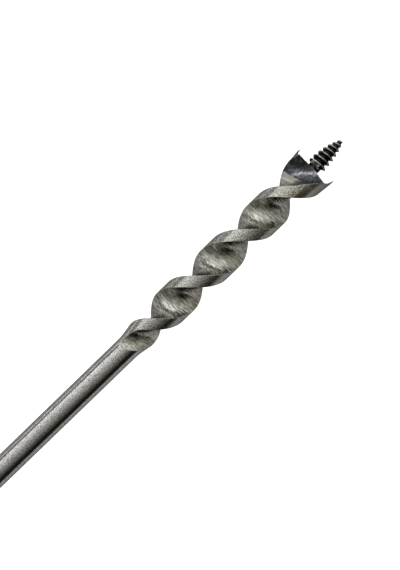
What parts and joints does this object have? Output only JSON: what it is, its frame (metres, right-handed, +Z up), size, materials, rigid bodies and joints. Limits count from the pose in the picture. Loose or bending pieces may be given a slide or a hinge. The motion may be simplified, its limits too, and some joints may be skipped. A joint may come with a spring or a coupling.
{
  "type": "gimlet",
  "caption": "Cross-handled gimlet: a twisted auger bit with a tapered lead screw and spurs, held by its square tang in a cast socket between turned wooden grips.",
  "frame": {"origin": "centre of the object's footprint, on the surface that it lies on", "axes": "+X along the bit towards the lead screw, Y along the handle, +Z up from the surface"},
  "size_m": [0.24, 0.18, 0.026],
  "materials": {
    "bit_steel": "milled and polished, black from heat on the head and the lead screw",
    "socket_iron": "dark cast skin with worn edges",
    "fittings_steel": "turned and lightly polished",
    "rod_steel": "drawn bar",
    "spring_steel": "blued wire",
    "pad_brass": "turned",
    "ferrule_brass": "spun and polished, slightly dulled",
    "grip_wood": "oiled hardwood"
  },
  "bodies": {
    "socket": {"centre_socket": "socket_iron", "clamp_bush": "fittings_steel", "fixed_stud": "rod_steel", "jam_nut": "fittings_steel", "fixed_grip": "grip_wood", "fixed_inner_ferrule": "ferrule_brass", "fixed_outer_ferrule": "ferrule_brass", "fixed_end_washer": "fittings_steel", "fixed_end_nut": "fittings_steel", "fixed_grip_pin": "rod_steel"},
    "pad": {"clamp_pad": "pad_brass", "pad_clip": "spring_steel"},
    "clamp_handle": {"clamp_screw": "rod_steel", "clamp_grip": "grip_wood", "clamp_inner_ferrule": "ferrule_brass", "clamp_outer_ferrule": "ferrule_brass", "clamp_end_washer": "fittings_steel", "clamp_end_nut": "fittings_steel", "clamp_grip_pin": "rod_steel"},
    "bit": {"auger_bit": "bit_steel"}
  },
  "joints": [
    {"name": "pad_slide", "type": "slide", "parent": "socket", "child": "pad", "axis": [0, -1, 0], "range_m": [0, 0.002]},
    {"name": "clamp_turn", "type": "hinge", "parent": "pad", "child": "clamp_handle", "pos_m": [-0.096, 0, 0.013], "axis": [0, -1, 0], "range_deg": [0, 720]},
    {"name": "bit_slide", "type": "slide", "parent": "socket", "child": "bit", "axis": [1, 0, 0], "range_m": [0, 0.03]}
  ],
  "couplings": [
    {"joint": "clamp_turn", "follows": "pad_slide", "rad_per_m": 6283.2}
  ]
}
